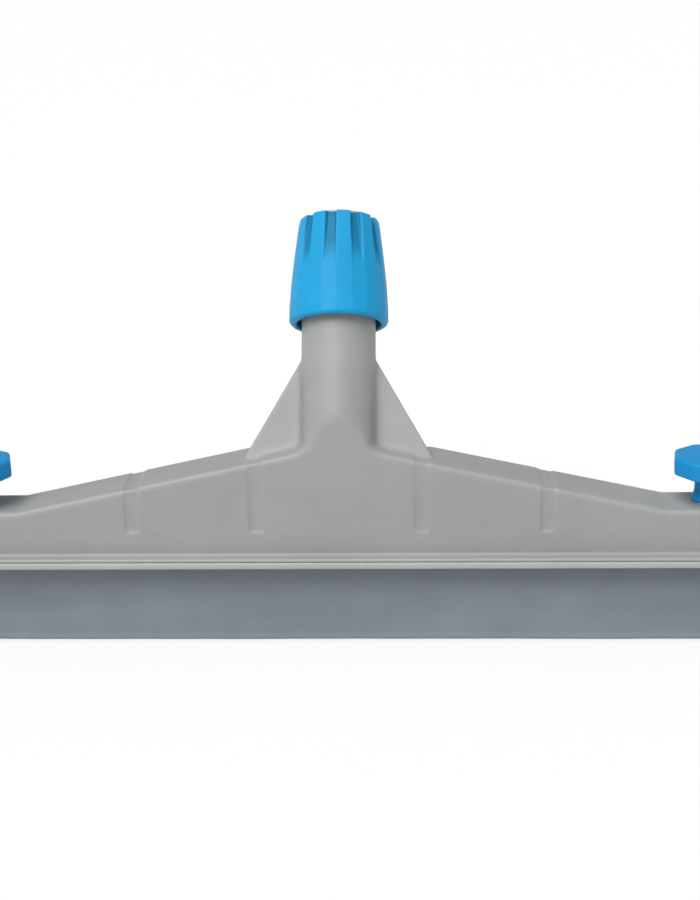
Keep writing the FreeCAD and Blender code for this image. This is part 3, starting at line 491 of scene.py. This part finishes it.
def nut_rows():
    """The angle of each column of the lock nut, and its rows. Each row is (radius, height, share of
    painted shade) at every column. They run from the inner edge of the foot up the outside, over the
    lip and back down the threaded bore."""
    angle = np.arange(COLUMNS) * 2 * math.pi / COLUMNS
    pitch = (angle / (2 * math.pi) * FLUTES) % 1 - 0.5
    half_flute = FLUTE_SHARE / 2
    in_flute = fade(np.abs(pitch), half_flute - FLUTE_WALL, half_flute + FLUTE_WALL)
    from_middle = np.where(np.abs(pitch) < half_flute, pitch, np.abs(pitch) - 0.5)
    half_side = np.where(np.abs(pitch) < half_flute, half_flute, 0.5 - half_flute)
    turn = 2 * math.pi / FLUTES
    flat = np.cos(half_side * turn) / np.cos(from_middle * turn)
    heights, radii = np.array(NUT_PROFILE).T * MM
    level = np.ones(COLUMNS)

    def outside(height):
        rise = max(NUT_FOOT_EDGE - height, 0)
        edge_low = NUT_FOOT_EDGE - math.sqrt(max(NUT_FOOT_EDGE**2 - rise**2, 0))
        short = max(height - NUT_LENGTH + NUT_EDGE, 0)
        edge_high = NUT_EDGE - math.sqrt(max(NUT_EDGE**2 - short**2, 0))
        radius = np.interp(height, heights, radii) - edge_low - edge_high
        run_out = np.clip((height - FLUTE_FOOT) / (NUT_LENGTH - FLUTE_FOOT), 0, 1)
        skirt = fade(-height, *SKIRT_FADE)
        depth = SKIRT_DEPTH * skirt + (FLUTE_DEPTH - SKIRT_DEPTH) * run_out**FLUTE_GROWTH
        floor = depth * in_flute
        side = radius * (1 + (flat - 1) * NUT_FACETING)
        # The third value is the share of painted shade: full on deep flute floors, none on the ribs.
        return side - floor, level * height, fade(-floor, *RECESS_SHADE_FADE)

    # The foot face takes full painted shade.
    rows = [
        (level * NUT_BORE, level * NUT_BEVEL, level),
        (level * (NUT_BORE + NUT_BEVEL), level * 0, level),
    ]
    steps = 1 - np.cos(np.linspace(0, math.pi / 2, EDGE_ROWS))
    plain = np.linspace(NUT_FOOT_EDGE + ROW_GAP, NUT_LENGTH - NUT_EDGE - ROW_GAP, SIDE_ROWS)
    climb = np.concatenate((NUT_FOOT_EDGE * steps, plain, NUT_LENGTH - NUT_EDGE * steps[::-1]))
    rows += [outside(height) for height in climb]
    rim = outside(NUT_LENGTH)[0]
    # The top rim takes no painted shade; the hole, the neck and the threaded bore take it in full.
    for share in NUT_RIM_SHARES:
        rows.append((NUT_HOLE + (rim - NUT_HOLE) * share, level * NUT_LENGTH, level * 0))
    for radius, height in (
        (NUT_HOLE, NUT_LENGTH - NUT_HOLE_EDGE),
        (NUT_HOLE, NUT_LENGTH - NUT_LIP),
        (NUT_NECK, NUT_LENGTH - NUT_LIP),
        (NUT_NECK + NUT_NECK_FLARE, NUT_LENGTH - NUT_LIP - NUT_NECK_DROP),
    ):
        rows.append((level * radius, level * height, level))
    for height in np.arange(NUT_BORE_LENGTH, THREAD_END, -THREAD_PITCH / THREAD_STEPS):
        phase = (height / THREAD_PITCH - angle / (2 * math.pi)) % 1
        groove = np.clip(THREAD_FLOOR - np.abs(phase - 0.5) * THREAD_FLANKS, 0, 1)
        start = fade(abs(height - THREAD_MIDDLE), *THREAD_FADE)
        rows.append((NUT_BORE + THREAD_DEPTH * groove * start, level * height, level))
    return angle, rows


def make_lock_nut(material):
    """The fluted nut, turned as it stopped on the tube, with its mask of painted shade in its
    recesses.
    """
    angle, rows = nut_rows()
    turn = angle + math.radians(FLUTE_TURN - 90)
    stand = on_tube(COLLET_PROUD + NUT_LENGTH)
    points = [
        stand @ Vector((r * math.cos(a), r * math.sin(a), h))
        for radius, height, _ in rows
        for r, a, h in zip(radius, turn, height)
    ]
    faces = []
    for i in range(len(rows)):
        for j in range(COLUMNS):
            low, high = i * COLUMNS, (i + 1) % len(rows) * COLUMNS
            after = (j + 1) % COLUMNS
            faces.append((low + j, low + after, high + after, high + j))
    mesh = bpy.data.meshes.new("lock_nut_moulding")
    mesh.from_pydata(points, [], faces)
    mesh.update()
    # The mesh keeps its share of painted shade at each point.
    sunk = mesh.attributes.new(RECESS_SHADE_ATTRIBUTE, "FLOAT", "POINT")
    sunk.data.foreach_set("value", np.concatenate([row[2] for row in rows]))
    show("lock_nut_moulding", mesh, material, "lock_nut", "nut_blue", "lock_nut")


BLADE_VOXEL = 0.8 * MM
BLADE_FREE = 37 * MM
BLADE_WANDER = 0.28 * MM
BLADE_SQUEEZE = 0.99
BLADE_WAVES = ((31, 0, 0.6, 0.5), (83, 0, 2.1, 0.3), (191, 60, 0, 0.2))


def make_blade(node, material):
    """A strip of foam rubber whose faces wander a little, more so towards its free lower edge. A
    wave is (turn per metre along, turn per metre up, start, share)."""
    mesh = skin_of(node, BLADE_VOXEL)
    ease(mesh, 3)
    places = points_of(mesh)
    x, y, z = places.T
    middle = (y.min() + y.max()) / 2
    hanging = np.clip(1 - z / BLADE_FREE, 0, 1)
    wander = sum(np.sin(x * along + z * up + start) * share for along, up, start, share in BLADE_WAVES)
    places[:, 1] += wander * BLADE_WANDER * hanging
    places[:, 1] = middle + (places[:, 1] - middle) * BLADE_SQUEEZE
    mesh.vertices.foreach_set("co", places.ravel())
    mesh.update()
    show(f"{node}_foam", lighter(mesh, share=0.5), material, "cassette", "blade_rubber", node)


def finish_node(node, material):
    """Gives a CAD node whose shape is right its own material."""
    mesh = frame["nodes"][node].data
    mesh.materials.clear()
    mesh.materials.append(material)


def make_floor():
    f = Finish(bpy.data.materials.new("pale_floor"))
    f.close(base_color=FLOOR_COLOUR, roughness=0.9, specular_ior_level=0.1)
    corners = [(x * FLOOR_REACH, y * FLOOR_REACH, 0) for x, y in ((-1, -1), (1, -1), (1, 1), (-1, 1))]
    mesh = bpy.data.meshes.new("floor")
    mesh.from_pydata(corners, [], [(0, 1, 2, 3)])
    mesh.materials.append(f.owner)
    floor = bpy.data.objects.new("floor", mesh)
    bpy.context.scene.collection.objects.link(floor)


def make_world():
    """A pale tent: bright along the horizon and dimmer overhead."""
    f = Finish(bpy.data.worlds.new("studio"))
    way = f.add("ShaderNodeTexCoord", output="Generated")
    height = f.add("ShaderNodeSeparateXYZ", {}, {"Vector": way}, output="Z")
    stops = [(place, (level, level, level, 1)) for place, level in SKY_LEVELS]
    sky = f.add("ShaderNodeValToRGB", {"stops": stops}, {"Fac": height})
    light = f.add("ShaderNodeBackground", {}, {"Color": sky})
    f.add("ShaderNodeOutputWorld", {}, {"Surface": light})
    bpy.context.scene.world = f.owner


bpy.context.scene.view_settings.view_transform = "Standard"
make_camera()
make_floor()
make_world()
make_sun("key", azimuth=-30, elevation=60, strength=3.0, softness=40)

body_grey = moulded_plastic("body_grey_plastic", BODY_GREY, 0.5)
cassette_grey = moulded_plastic("cassette_grey_plastic", CASSETTE_GREY, 0.45)
collet_grey = moulded_plastic("collet_grey_plastic", COLLET_GREY, 0.42)
# The blue pieces take a weaker painted edge highlight.
blue = {"grain": 0.25 * MM, "gloss": 0.12, "scuff_and_highlight_share": 0.25}
# The nut takes stronger painted shade in its hollows and painted shade in its marked recesses.
nut_blue = moulded_plastic("nut_blue_plastic", NUT_BLUE, 0.45, hollow_shade_share=0.5, recess_shade_factor=0.6, **blue)
knob_blue = moulded_plastic("knob_blue_plastic", KNOB_BLUE, 0.42, **blue)
foam = foam_rubber("grey_foam_rubber", FOAM_GREY)
zinc = plated_metal("zinc_plate", ZINC, ZINC_DULL, rough_spots=0.2)
brass = plated_metal("turned_brass", BRASS, BRASS_DULL, rough_spots=0.15)

make_head(body_grey)
make_lock_nut(nut_blue)
make_moulded("pole_collet", "collet", collet_grey, "collet_grey", voxel=0.45 * MM)
cassette = ("cassette", cassette_grey, "cassette_grey")
make_moulded("blade_carrier", *cassette, voxel=0.55 * MM, rounds=1, share=0.3)
make_moulded("spacer_bar", *cassette, voxel=0.8 * MM, share=0.2)
for blade in ("front_blade", "rear_blade"):
    make_blade(blade, foam)
for side in ("left", "right"):
    make_moulded(f"{side}_knob", f"{side}_knob", knob_blue, "knob_blue", voxel=0.4 * MM, rounds=3)
    make_moulded(f"{side}_end_cap", *cassette, voxel=0.3 * MM)
    finish_node(f"{side}_knob_insert", brass)
    for piece in ("stud", "stud_nut", "knob_washer"):
        finish_node(f"{side}_{piece}", zinc)
finish_node("spacer_screws", zinc)
